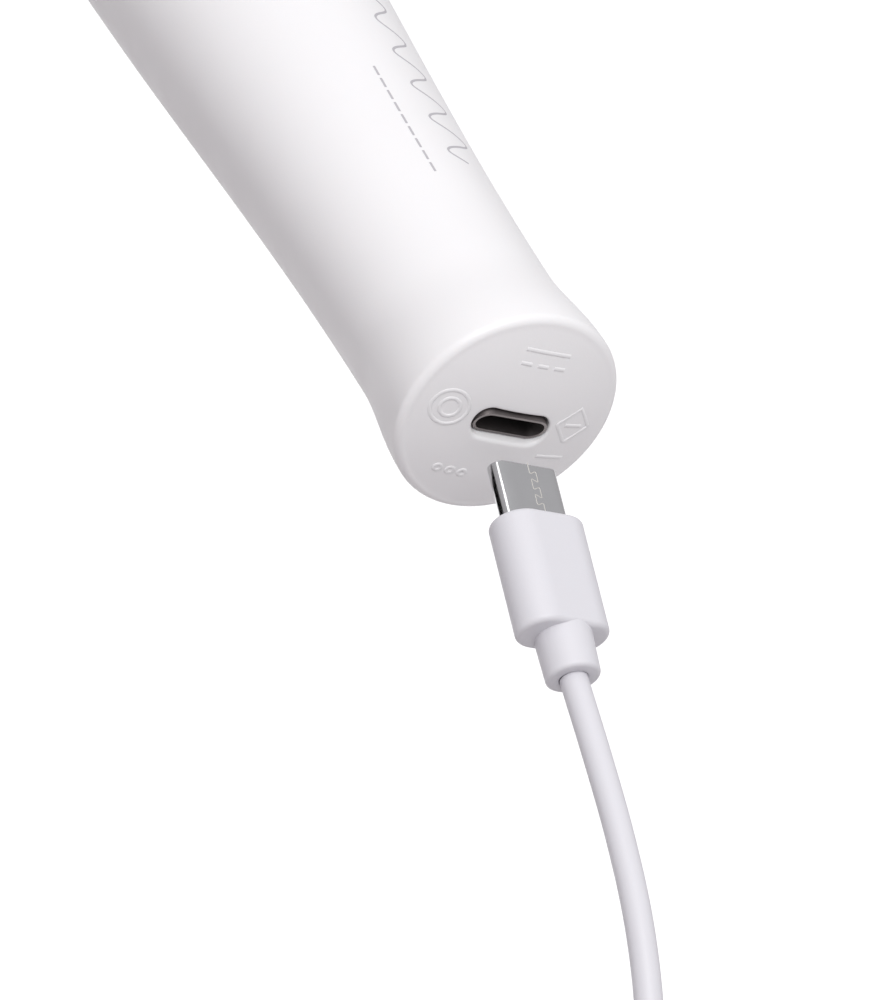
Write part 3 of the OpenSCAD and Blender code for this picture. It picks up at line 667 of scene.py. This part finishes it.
def add_far_shell():
    top, hidden, lip = USB_A_RELIEF_L + USB_A_BODY_L, 1 * MM, 0.15 * MM
    end = top + USB_A_L
    box = rounded_box(USB_A_W, USB_A_H, 0.5 * MM)
    rim = rounded_box(USB_A_W - lip, USB_A_H - lip, 0.45 * MM)
    hollow = rounded_box(USB_A_W - 2 * USB_WALL, USB_A_H - 2 * USB_WALL, 0.25 * MM)
    loops = ((box, top - hidden), (box, end - 0.1 * MM), (rim, end), (hollow, end), (hollow, top - hidden))
    rings = [[USB_A_AT + Vector((x, y, -down)) for y, x in outline] for outline, down in loops]
    shell = new_piece("far_shell", *bridge(rings + rings[:1], start_cap=False, end_cap=False),
                      "charging_plug", NICKEL, "connector_metal", ["usb_a_shell"])
    latch, latch_down, latch_y = (0.8 * MM, 2.3 * MM, 2.3 * MM), top + USB_A_L / 2, 2.85 * MM
    cut_boxes(shell, [(USB_A_AT + Vector((x, y, -latch_down)), latch)
                      for x in (-USB_A_H / 2, USB_A_H / 2) for y in (-latch_y, latch_y)])
    return shell


def cut_boxes(piece, boxes):
    """Cuts boxes of (middle, size) out of a piece."""
    bm = bmesh.new()
    for middle, size in boxes:
        bmesh.ops.create_cube(bm, size=1, matrix=Matrix.Translation(middle) @ Matrix.Diagonal((*size, 1)))
    cut(piece, bm)


def cut(piece, bm):
    """Cuts a bmesh tool out of a piece, and frees the tool."""
    mesh = bpy.data.meshes.new("tool")
    bm.to_mesh(mesh)
    bm.free()
    tool = bpy.data.objects.new("tool", mesh)
    bpy.context.scene.collection.objects.link(tool)
    modifier = piece.modifiers.new("cut", "BOOLEAN")
    modifier.operation, modifier.solver, modifier.object = "DIFFERENCE", "EXACT", tool
    made = bpy.data.meshes.new_from_object(piece.evaluated_get(bpy.context.evaluated_depsgraph_get()))
    piece.modifiers.clear()
    piece.data = made
    bpy.data.objects.remove(tool)


def add_tie():
    """Soft strap with chamfered edges, round all the turns."""
    gap_x, gap_y, corner = 0.35 * MM, 0.1 * MM, 1.2 * MM
    thick, half, edge = 0.9 * MM, 2.5 * MM, 0.3 * MM
    low_x = COIL_AT.x - COIL_OUTER_R - CABLE_D / 2 - gap_x
    high_x = COIL_AT.x - COIL_INNER_R + CABLE_D / 2 + gap_x
    low_y, high_y = -COIL_HALF_W - gap_y, TAIL_Y + CABLE_D / 2 + gap_y
    middle = Vector(((low_x + high_x) / 2, (low_y + high_y) / 2, COIL_AT.z))
    section = [(0, half - edge), (edge, half), (thick - edge, half), (thick, half - edge)]
    section += [(out, -z) for out, z in reversed(section)]
    loops = []
    for out, z in section:
        outline = rounded_box(high_x - low_x + 2 * out, high_y - low_y + 2 * out, corner + out)
        loops.append([middle + Vector((x, y, z)) for x, y in outline])
    return new_piece("cable_strap", *bridge(loops + loops[:1], start_cap=False, end_cap=False),
                     "charging_plug", FINISHES["tie_plastic"], "tie_plastic", ["cable_tie"], 60)


FAR_PIECES = add_far_plug()
STRAP = add_tie()

# ---------------------------------------------------------------- handle's soft sleeve


def on_dome(y, s):
    """Where a line along the port's axis through (y, s) of its mouth meets the domed end face."""
    t = 0.0
    for _ in range(20):
        p = in_port(t, y, s)
        t += (dome_x(p.y, p.z) - p.x) / PORT_OUT.x
    return in_port(t, y, s)


def mouth_ring(grow, depth, sides):
    outline = stadium(MOUTH_W + 2 * grow, MOUTH_H + 2 * grow, sides)
    return [on_dome(y, s) - PORT_OUT * depth for y, s in outline]


def add_sleeve():
    """One closed skin: side, rim, domed face, the port's soft-edged mouth, and back along the inside."""
    sides, lip = 256, 0.35 * MM
    outer = [(x, handle_r(x)) for x in spread(SHOULDER_X, RIM[0], 300)]
    outer += [(RIM[0] + RIM_EDGE * math.sin(a), FACE_R + RIM_EDGE * math.cos(a))
              for a in spread(0, math.pi / 2, 14)[1:]]
    first_hole = mouth_ring(lip, 0, sides)
    # Rings start on the side where the mouth's outline starts, and go the same way round
    turns = [math.atan2(p.y - MOUTH.y, p.z - MOUTH.z) for p in first_hole]
    rings = [[Vector((x, r * math.sin(t), r * math.cos(t))) for t in turns] for x, r in outer]
    face_edge = rings[-1]
    for share in spread(0, 1, 22)[1:-1]:
        ring = [p.lerp(q, share) for p, q in zip(face_edge, first_hole)]
        rings.append([Vector((dome_x(p.y, p.z), p.y, p.z)) for p in ring])
    for a in spread(0, math.pi / 2, 8):
        rings.append(mouth_ring(lip * (1 - math.sin(a)), lip * (1 - math.cos(a)), sides))
    rings.append([p - PORT_OUT * ((p.x - END_WALL_X) / PORT_OUT.x) for p in rings[-1]])
    inner = [(x, handle_r(x) - SLEEVE_T) for x in spread(END_WALL_X, SHOULDER_X, 120)]
    rings += [[Vector((x, r * math.sin(t), r * math.cos(t))) for t in turns] for x, r in inner]
    sleeve = new_piece("soft_grip", *bridge(rings + rings[:1], start_cap=False, end_cap=False),
                       None, SILICONE, "soft_sleeve")
    cut(sleeve, window_tool())
    return dress(sleeve, "handle", SILICONE, ["handle_sleeve"])


PANEL_AT = (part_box("button_panel")[0].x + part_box("button_panel")[1].x) / 2
PANEL_L, PANEL_W = 46 * MM, 15 * MM
BUTTON_R = {"power_button": 4.5 * MM, "plus_button": 4.0 * MM, "minus_button": 4.0 * MM}
BUTTONS = {name: (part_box(name)[0].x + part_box(name)[1].x) / 2 for name in BUTTON_R}


def window_tool():
    """Upright slot the size of the panel's window."""
    bm = bmesh.new()
    low_z, high_z = 4 * MM, 20 * MM
    outline = stadium(PANEL_L + 2 * SEAT_GAP, PANEL_W + 2 * SEAT_GAP, 160)
    low = [bm.verts.new((PANEL_AT + x, y, low_z)) for x, y in outline]
    high = [bm.verts.new((PANEL_AT + x, y, high_z)) for x, y in outline]
    bm.faces.new(reversed(low))
    bm.faces.new(high)
    for k in range(len(outline)):
        n = (k + 1) % len(outline)
        bm.faces.new((low[k], low[n], high[n], high[k]))
    return bm


add_sleeve()

# ---------------------------------------------------------------- button panel and buttons


def skin_top(x, y, up=0.0):
    """A point above (x, y) on the handle's upper side, up from its outer surface."""
    r = handle_r(x) + up
    return Vector((x, y, math.sqrt(max(r * r - y * y, 0))))


def edge_drop(distance, radius):
    """How far a rounded edge of that radius has dropped at a distance in from the border."""
    if distance >= radius:
        return 0.0
    return radius - math.sqrt(radius ** 2 - (radius - distance) ** 2)


def slot_depth(x, y, length, width):
    """How far (x, y) lies inside a slot with round ends, negative outside it."""
    return width / 2 - math.hypot(max(abs(x) - (length - width) / 2, 0), y)


def add_panel():
    """Gloss plate that follows the grip's curve, with a rounded border and a bevel round each button."""
    length, width, radius = PANEL_L - 2 * SEAT_GAP, PANEL_W - 2 * SEAT_GAP, 0.3 * MM
    holes = [(BUTTONS[name] - PANEL_AT, BUTTON_R[name] + 0.12 * MM) for name in BUTTONS]
    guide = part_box("light_guide")
    holes.append(((guide[0].x + guide[1].x) / 2 - PANEL_AT, 0.78 * MM))
    insets = [0, 0.03 * MM, 0.08 * MM, 0.16 * MM, radius, 0.6 * MM]

    def room(x, y):
        return min([slot_depth(x, y, length, width)] + [math.hypot(x - hx, y) - hr for hx, hr in holes])

    loops = [stadium(length - 2 * i, width - 2 * i, 160) for i in insets]
    for hx, hr in holes:
        around = 72 if hr > 2 * MM else 32
        for i in insets[:-1]:
            turns = spread(0, 2 * math.pi, around)[:-1]
            loops.append([(hx + (hr + i) * math.cos(a), (hr + i) * math.sin(a)) for a in turns])
    flat = [p for loop in loops for p in loop if room(*p) > -1e-7]
    step, from_loops = 0.75 * MM, 0.9 * MM
    columns, rows = math.ceil(PANEL_L / 2 / step), math.ceil(PANEL_W / 2 / step)
    for i in range(-columns, columns + 1):
        for j in range(-rows, rows + 1):
            if room(i * step, j * step) > from_loops:
                flat.append((i * step, j * step))
    corners, _, triangles, *_ = delaunay_2d_cdt([Vector(p) for p in flat], [], [], 0, 1e-7)
    kept = [t for t in triangles if room(*(sum((corners[k] for k in t), Vector((0, 0))) / 3)) > 0]
    n = len(corners)
    top = [skin_top(PANEL_AT + p.x, p.y, -edge_drop(max(room(*p), 0), radius)) for p in corners]
    under = [skin_top(PANEL_AT + p.x, p.y, -SLEEVE_T) for p in corners]
    sides = {}
    for t in kept:
        for a, b in zip(t, (*t[1:], t[0])):
            sides[frozenset((a, b))] = None if frozenset((a, b)) in sides else (a, b)
    faces = [tuple(t) for t in kept] + [tuple(n + k for k in reversed(t)) for t in kept]
    faces += [(b, a, n + a, n + b) for a, b in filter(None, sides.values())]
    used = sorted({k for f in faces for k in f})
    place = {k: i for i, k in enumerate(used)}
    points = top + under
    return new_piece("button_plate", [points[k] for k in used], [tuple(place[k] for k in f) for f in faces],
                     "handle", FINISHES["panel_plastic"], "panel_plastic", ["button_panel"])


def button_top(name, x, y, up=0.0):
    """The button's face: it follows the grip, dished a little towards its middle."""
    r = BUTTON_R[name]
    share = min(1.0, math.hypot(x, y) / r)
    dish = 0.18 * MM * (1 - share ** 2) ** 2
    return skin_top(BUTTONS[name] + x, y, BUTTON_PROUD - dish - edge_drop(r - share * r, 0.35 * MM) + up)


def add_button(name, material, slot):
    """Dished cap with a rounded edge, its flange under the panel and the stem it presses with."""
    r, at = BUTTON_R[name], BUTTONS[name]
    stem_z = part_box(name)[0].z
    around = [2 * math.pi * k / 96 for k in range(96)]
    shares = [0.04, 0.15, 0.3, 0.45, 0.6, 0.72, 0.82, 0.89, 0.93, 0.96, 0.98, 0.992, 1]
    rings = [[button_top(name, r * s * math.cos(a), r * s * math.sin(a)) for a in around] for s in shares]

    reach = r + FLANGE_W
    seat = math.sqrt((handle_r(at - reach) - SLEEVE_T) ** 2 - reach ** 2) - RUN_GAP

    def level(radius, z):
        return [Vector((at + radius * math.cos(a), radius * math.sin(a), z)) for a in around]

    under = seat - FLANGE_T
    rings += [level(r, seat), level(reach, seat), level(reach, under),
              level(STEM_R, under), level(STEM_R, stem_z)]
    return new_piece(name + "_cap", *bridge(rings), name.replace("button", "key"), material, slot, [name])


def add_symbol(button, name, lines):
    points, faces = [], []
    for line in lines:
        made, skin = ridge(line, 0.42 * MM, 0.03 * MM, lambda x, y, up: button_top(button, x, y, up))
        faces += [tuple(k + len(points) for k in f) for f in skin]
        points += made
    return new_piece(name, points, faces, button.replace("button", "key"), SYMBOL, "button_plastic")


def arc(radius, start, end, steps=40, middle=(0, 0)):
    return [(middle[0] + radius * math.cos(math.radians(a)), middle[1] + radius * math.sin(math.radians(a)))
            for a in spread(start, end, steps)]


def straight(a, b, steps=10):
    return [tuple(Vector(a).lerp(Vector(b), i / steps)) for i in range(steps + 1)]


add_panel()
add_button("power_button", FINISHES["button_metal"], "button_metal")
add_button("plus_button", FINISHES["button_plastic"], "button_plastic")
add_button("minus_button", FINISHES["button_plastic"], "button_plastic")
add_symbol("power_button", "power_symbol",
           [arc(1.5 * MM, 40, 320), straight((0.3 * MM, 0), (2.0 * MM, 0))])
add_symbol("plus_button", "plus_symbol",
           [straight((-1.4 * MM, 0), (1.4 * MM, 0)), straight((0, -1.4 * MM), (0, 1.4 * MM))])
add_symbol("minus_button", "minus_symbol", [straight((0, -1.4 * MM), (0, 1.4 * MM))])

# ---------------------------------------------------------------- neck and head


def bellows_profile(start, end):
    """Outside of half the neck, then back along its inside."""
    a_rib = 32
    outside = [(x, BELLOWS_R - GROOVE * (1 + math.cos(2 * math.pi * i / a_rib)) / 2)
               for i, x in enumerate(spread(start, end, RIBS_A_HALF * a_rib))]
    inside = [(x, BELLOWS_R - BELLOWS_T) for x in spread(end, start, 12)]
    return outside + inside


def add_bellows(name, node, start, end):
    """Ribbed silicone sleeve over one part of the neck, from start to end along X."""
    profile = bellows_profile(start, end)
    rings = lathe_rings(profile, 160)
    half = new_piece(name, *bridge(rings + rings[:1], start_cap=False, end_cap=False), None, SILICONE,
                     "soft_sleeve", [node], 70)
    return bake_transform(half)


def add_wires(name, start, end, replaces=()):
    """The motor's two wires, straight from start to end along X."""
    low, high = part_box("motor_leads")
    radius = (high.z - low.z) / 2
    points, faces = [], []
    for y in (low.y + radius, high.y - radius):
        made, skin = tube([Vector((x, y, 0)) for x in spread(start, end, 60)], radius, 16)
        faces += [tuple(k + len(points) for k in f) for f in skin]
        points += made
    wires = new_piece(name, points, faces, None, FINISHES["lead_insulation"], "lead_insulation", replaces)
    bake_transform(wires)


def crown(inset, side, angle, steps):
    """A rounded end of the head as (x, radius), from the barrel out."""
    made = []
    for a in spread(0, angle, steps):
        r = (HEAD_R - inset) * max(math.cos(a), 0) ** (2 / CROWN_POWER)
        out = (CROWN_L - inset) * math.sin(a) ** (2 / CROWN_POWER)
        made.append((HEAD_MID_X + side * (BARREL_L / 2 + out), r))
    return made


def add_head_cover():
    """Silicone skin over the head, open where the neck joins it."""
    join = math.acos((HEAD_JOIN_R / HEAD_R) ** (CROWN_POWER / 2))
    opening, pole = 9.9 * MM, math.pi / 2 - 0.02
    outside = [(HEAD_X, opening), *reversed(crown(0, 1, join, 60)), *crown(0, -1, pole, 90)]
    inner_join = math.acos((opening / (HEAD_R - COVER_T)) ** (CROWN_POWER / 2))
    inside = list(reversed(crown(COVER_T, -1, pole, 60))) + crown(COVER_T, 1, inner_join, 40)
    around = 224
    points, faces = bridge(lathe_rings(outside, around), start_cap=False)
    more, skin = bridge(lathe_rings(inside, around), end_cap=False)
    offset = len(points)
    faces += [tuple(k + offset for k in f) for f in skin]
    last = offset + len(more) - around
    faces += [(k, (k + 1) % around, last + (k + 1) % around, last + k) for k in range(around)]
    return new_piece("head_skin", points + more, faces, "head", SILICONE, "soft_sleeve", ["head_cover"], 60)


WIRES_X = [corner.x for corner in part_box("motor_leads")]
add_bellows("neck_ribs_rear", "neck_sleeve_rear", SHOULDER_X, PIVOT_X)
add_bellows("neck_ribs_front", "neck_sleeve_front", PIVOT_X, HEAD_X)
add_wires("motor_wires_rear", WIRES_X[1], PIVOT_X,
          ["motor_leads"])
add_wires("motor_wires_front", PIVOT_X, WIRES_X[0])
add_head_cover()

# ---------------------------------------------------------------- marks: plain shapes in place of lettering


def on_face(y, z, up):
    return Vector((dome_x(y, z) + up, y, z))


def on_grip(x, arc_y, up):
    """A point on the grip, arc_y round from its top line, measured at the surface."""
    r = handle_r(x)
    return Vector((x, (r + up) * math.sin(arc_y / r), (r + up) * math.cos(arc_y / r)))


def add_marks(name, lines, width, height, surface, material, slot):
    """One piece of several low ridges; a line whose ends meet is closed."""
    points, faces = [], []
    for line in lines:
        closed = (Vector(line[0]) - Vector(line[-1])).length < 1e-6
        made, skin = ridge(line[:-1] if closed else line, width, height, surface, closed)
        faces += [tuple(k + len(points) for k in f) for f in skin]
        points += made
    return new_piece(name, points, faces, "handle", material, slot, sharp=70)


def mm(line):
    return [(u * MM, v * MM) for u, v in line]


FACE_MARKS = [
    mm(straight((-2.8, 8.7), (2.8, 8.7))),
    *[mm(straight((y - 0.65, 7.1), (y + 0.65, 7.1))) for y in (-2.1, 0, 2.1)],
    mm(arc(2.1, 0, 360, 64, (-8.0, 0.2))), mm(arc(1.1, 0, 360, 48, (-8.0, 0.2))),
    mm(rounded_corners([(7.6, 2.8), (9.8, 0.6), (7.6, -1.6), (5.4, 0.6), (7.6, 2.8)], 0.3)),
    mm(straight((6.5, 0.6), (8.7, 0.6))),
    mm(straight((5.2, -3.7), (8.8, -3.7))),
    *[mm(arc(0.4, 0, 360, 24, (y, -7.4))) for y in (-5.2, -3.7, -2.2)],
]
add_marks("face_marks", FACE_MARKS, 0.45 * MM, 0.08 * MM, on_face, SILICONE, "soft_sleeve")


def wave(x_from, x_to, y_low, y_high, turns):
    """A wave that grows along the grip."""
    made = []
    for t in spread(0, 1, 240):
        swell = 0.45 + 0.55 * t
        middle = (y_low + y_high) / 2
        y = middle + (y_high - y_low) / 2 * swell * math.sin(2 * math.pi * turns * t)
        made.append((x_from + (x_to - x_from) * t, y))
    return made


add_marks("grip_wave", [mm(wave(12, 51, 0.4, 4.8, 7))], 0.3 * MM, 0.02 * MM, on_grip, INK, "soft_sleeve")
add_marks("grip_dashes", [mm(straight((x, -2.9), (x + 1.5, -2.9), 6)) for x in range(36, 53, 2)],
          0.28 * MM, 0.02 * MM, on_grip, INK, "soft_sleeve")

# ---------------------------------------------------------------- remaining CAD nodes, light and floor

finish_cad_nodes()


def add_light(name, at, target, size, watts, colour):
    data = bpy.data.lights.new(name, "AREA")
    data.shape, data.size, data.energy, data.color = "DISK", size, watts, colour
    light = bpy.data.objects.new(name, data)
    light.location = at
    light.rotation_mode = "QUATERNION"
    light.rotation_quaternion = (Vector(target) - Vector(at)).to_track_quat("-Z", "Y")
    bpy.context.scene.collection.objects.link(light)


def add_world(below, above):
    """Even studio light that turns from one colour overhead to another below."""
    world = bpy.data.worlds.new("studio")
    world.use_nodes = True
    nodes, links = world.node_tree.nodes, world.node_tree.links
    split = nodes.new("ShaderNodeSeparateXYZ")
    links.new(nodes.new("ShaderNodeTexCoord").outputs["Generated"], split.inputs["Vector"])
    height = nodes.new("ShaderNodeMapRange")
    height.inputs["From Min"].default_value = -1
    links.new(split.outputs["Z"], height.inputs["Value"])
    ramp = nodes.new("ShaderNodeValToRGB")
    ramp.color_ramp.elements[0].color, ramp.color_ramp.elements[1].color = (*below, 1), (*above, 1)
    links.new(height.outputs["Result"], ramp.inputs["Fac"])
    links.new(ramp.outputs["Color"], nodes["Background"].inputs["Color"])
    bpy.context.scene.world = world


def stage_sheet(name, corners, finish):
    """A flat sheet of the studio, which is no part of the object."""
    mesh = bpy.data.meshes.new(name)
    mesh.from_pydata([tuple(p) for p in corners], [], [(0, 1, 2, 3)])
    mesh.materials.append(finish.material)
    sheet = bpy.data.objects.new(name, mesh)
    bpy.context.scene.collection.objects.link(sheet)
    return sheet


def add_floor():
    """Pale floor far enough below the held-up object to take no shadow in view."""
    half, z = 3.0, -0.26
    corners = [(-half, -half, z), (half, -half, z), (half, half, z), (-half, half, z)]
    finish = Finish("pale_floor", srgb(0.97, 0.97, 0.97), 0.9).mottle(0.004, 8)
    finish.set(Emission_Color=(1, 1, 1, 1), Emission_Strength=0.42)
    floor = stage_sheet("floor", corners, finish)
    floor.visible_diffuse = False


def add_card(at, target, half):
    """Black card that shows only in reflections, as the dark band on the plug's shell."""
    facing = (Vector(target) - Vector(at)).to_track_quat("Z", "Y")
    corners = [Vector(at) + facing @ Vector((x * half, y * half, 0))
               for x, y in ((-1, -1), (1, -1), (1, 1), (-1, 1))]
    black = Finish("black_card", srgb(0.05, 0.05, 0.05), 1.0, specular=0.0)
    card = stage_sheet("dark_card", corners, black)
    card.visible_camera = card.visible_diffuse = card.visible_shadow = False


TARGET = (0.06, 0, 0)
add_light("key", (0.50, -0.50, 0.95), TARGET, 0.8, 8.0, (1.0, 1.0, 1.0))
add_light("accent", PLUG_TIP + Vector((-0.26, -0.65, 0.71)), PLUG_TIP, 0.25, 0.46, (1.0, 1.0, 1.0))
add_world((0.37, 0.335, 0.35), (0.63, 0.63, 0.64))
add_floor()
add_card((-0.08, -0.145, -0.11), PLUG_TIP, 0.1)
bpy.context.scene.view_settings.view_transform = "Standard"
